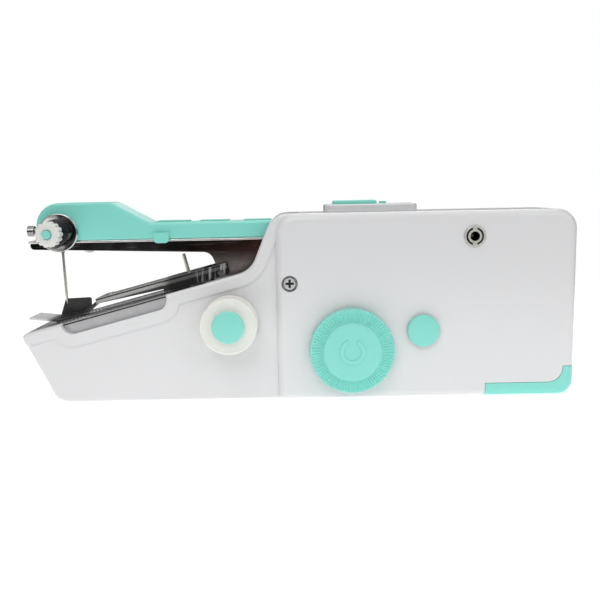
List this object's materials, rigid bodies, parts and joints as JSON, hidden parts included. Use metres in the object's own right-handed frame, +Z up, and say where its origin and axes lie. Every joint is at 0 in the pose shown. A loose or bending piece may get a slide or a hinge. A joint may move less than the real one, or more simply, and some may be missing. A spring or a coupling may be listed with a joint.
{
  "type": "handheld sewing machine",
  "caption": "Handheld battery sewing machine with a rocking needle arm over a sloped deck, presser foot, bobbin, hand wheel and grip.",
  "frame": {"origin": "on the bottom face, at mid-thickness of the casing, near the middle of its length", "axes": "+X along the machine towards the grip's end, -Y out of the front face with the hand wheel, +Z up"},
  "size_m": [0.2113, 0.046, 0.0764],
  "materials": {
    "white_plastic": "glossy moulded white",
    "mint_plastic": "glossy moulded mint green",
    "knob_plastic": "satin white",
    "bobbin_plastic": "milky translucent",
    "arm_chrome": "bright plating",
    "plate_steel": "satin plated sheet",
    "needle_steel": "polished steel",
    "spring_steel": "dark oiled wire",
    "screw_steel": "plated screws",
    "gear_plastic": "acetal",
    "brass_parts": "turned brass",
    "motor_steel": "zinc plated can",
    "black_plastic": "moulded black",
    "board_laminate": "paper laminate",
    "cell_wrap": "plain wrapped cells",
    "contact_metal": "nickel plated strip"
  },
  "bodies": {
    "casing": {"front_shell": "white_plastic", "rear_shell": "white_plastic", "front_screw": "screw_steel", "rear_screws": "screw_steel", "shaft_bushes": "brass_parts", "arm_pivot_pin": "needle_steel", "motor_can": "motor_steel", "motor_end_cap": "black_plastic", "needle_plate": "plate_steel", "feed_strap": "plate_steel", "looper_brackets": "plate_steel", "presser_pins": "arm_chrome", "bobbin_spindle": "bobbin_plastic", "switch_platform": "white_plastic", "switch_block": "black_plastic", "switch_board": "board_laminate", "dc_socket": "arm_chrome", "dc_pin": "brass_parts", "dc_nut": "brass_parts", "cells": "cell_wrap", "cell_contacts": "contact_metal"},
    "wheel": {"hand_wheel": "mint_plastic", "wheel_shaft": "needle_steel", "main_gear": "gear_plastic", "eccentric": "gear_plastic"},
    "winder": {"winder_gear": "gear_plastic", "reduction_gear": "gear_plastic", "winder_spindle": "needle_steel", "winder_cap": "mint_plastic"},
    "motor_rotor": {"motor_pinion": "brass_parts", "motor_shaft": "needle_steel"},
    "arm": {"arm_channel": "arm_chrome", "arm_cover": "mint_plastic", "arm_fork": "plate_steel", "arm_rivet": "knob_plastic", "needle_clamp": "plate_steel", "needle": "needle_steel", "needle_screw": "arm_chrome", "tension_discs": "arm_chrome", "tension_spring": "spring_steel"},
    "tension_knob": {"tension_knob": "knob_plastic"},
    "push_rod": {"push_rod": "needle_steel"},
    "looper": {"looper_shaft": "needle_steel", "looper_hook": "plate_steel", "looper_lever": "plate_steel"},
    "feed_dog": {"feed_dog": "plate_steel"},
    "presser": {"presser_bar": "arm_chrome", "presser_foot": "arm_chrome", "presser_rivet": "arm_chrome"},
    "power_button": {"power_button": "mint_plastic"},
    "lock_slider": {"lock_slider": "mint_plastic"},
    "bobbin": {"bobbin": "bobbin_plastic"},
    "bobbin_cap": {"bobbin_cap": "mint_plastic"},
    "battery_lid": {"battery_lid": "mint_plastic", "lid_contacts": "contact_metal"}
  },
  "joints": [
    {"name": "wheel_turn", "type": "hinge", "parent": "casing", "child": "wheel", "pos_m": [0.0193, 0, 0.0193], "axis": [0, -1, 0], "range_deg": [-72, 108]},
    {"name": "winder_turn", "type": "hinge", "parent": "casing", "child": "winder", "pos_m": [0.04646, 0, 0.02612], "axis": [0, -1, 0], "range_deg": [-114.5, 76.5]},
    {"name": "motor_turn", "type": "hinge", "parent": "casing", "child": "motor_rotor", "pos_m": [0.05189, 0, 0.04641], "axis": [0, -1, 0], "range_deg": [-458, 687]},
    {"name": "arm_rock", "type": "hinge", "parent": "casing", "child": "arm", "pos_m": [0.008, 0, 0.0549], "axis": [0, -1, 0], "range_deg": [-4.8, 7.2]},
    {"name": "tension_turn", "type": "hinge", "parent": "arm", "child": "tension_knob", "pos_m": [-0.092, -0.021, 0.0651], "axis": [0, -1, 0], "range_deg": [-720, 720]},
    {"name": "rod_slide", "type": "slide", "parent": "casing", "child": "push_rod", "axis": [-0.2504, 0, 0.9681], "range_m": [-0.00645, 0.0043]},
    {"name": "looper_swing", "type": "hinge", "parent": "casing", "child": "looper", "pos_m": [-0.0569, 0.01, 0.02684], "axis": [0.9681, 0, 0.2504], "range_deg": [-24.6, 36.8]},
    {"name": "feed_slide", "type": "slide", "parent": "casing", "child": "feed_dog", "axis": [0.9681, 0, 0.2504], "range_m": [-0.0011, 0.00162]},
    {"name": "presser_lift", "type": "hinge", "parent": "casing", "child": "presser", "pos_m": [-0.0304, 0, 0.0484], "axis": [0, 1, 0], "range_deg": [0, 5], "stiffness_Nm_per_rad": 0.05, "springref_deg": -20.05},
    {"name": "power_press", "type": "slide", "parent": "casing", "child": "power_button", "axis": [0, 0, -1], "range_m": [0, 0.0015], "stiffness_N_per_m": 500, "springref_m": -0.001},
    {"name": "lock_slide", "type": "slide", "parent": "casing", "child": "lock_slider", "axis": [1, 0, 0], "range_m": [0, 0.003]},
    {"name": "bobbin_spin", "type": "hinge", "parent": "casing", "child": "bobbin", "pos_m": [-0.0266, -0.021, 0.0301], "axis": [0, -1, 0], "continuous": true},
    {"name": "bobbin_cap_pull", "type": "slide", "parent": "casing", "child": "bobbin_cap", "axis": [0, -1, 0], "range_m": [0, 0.02]},
    {"name": "lid_slide", "type": "slide", "parent": "casing", "child": "battery_lid", "axis": [1, 0, 0], "range_m": [0, 0.04]}
  ],
  "couplings": [
    {"joint": "winder_turn", "follows": "wheel_turn", "ratio": -1.0588},
    {"joint": "motor_turn", "follows": "wheel_turn", "ratio": 6.3529},
    {"joint": "arm_rock", "follows": "wheel_turn", "ratio": 0.06639},
    {"joint": "rod_slide", "follows": "wheel_turn", "m_per_rad": -0.0034},
    {"joint": "looper_swing", "follows": "wheel_turn", "ratio": 0.34},
    {"joint": "feed_slide", "follows": "wheel_turn", "m_per_rad": 0.00085}
  ]
}
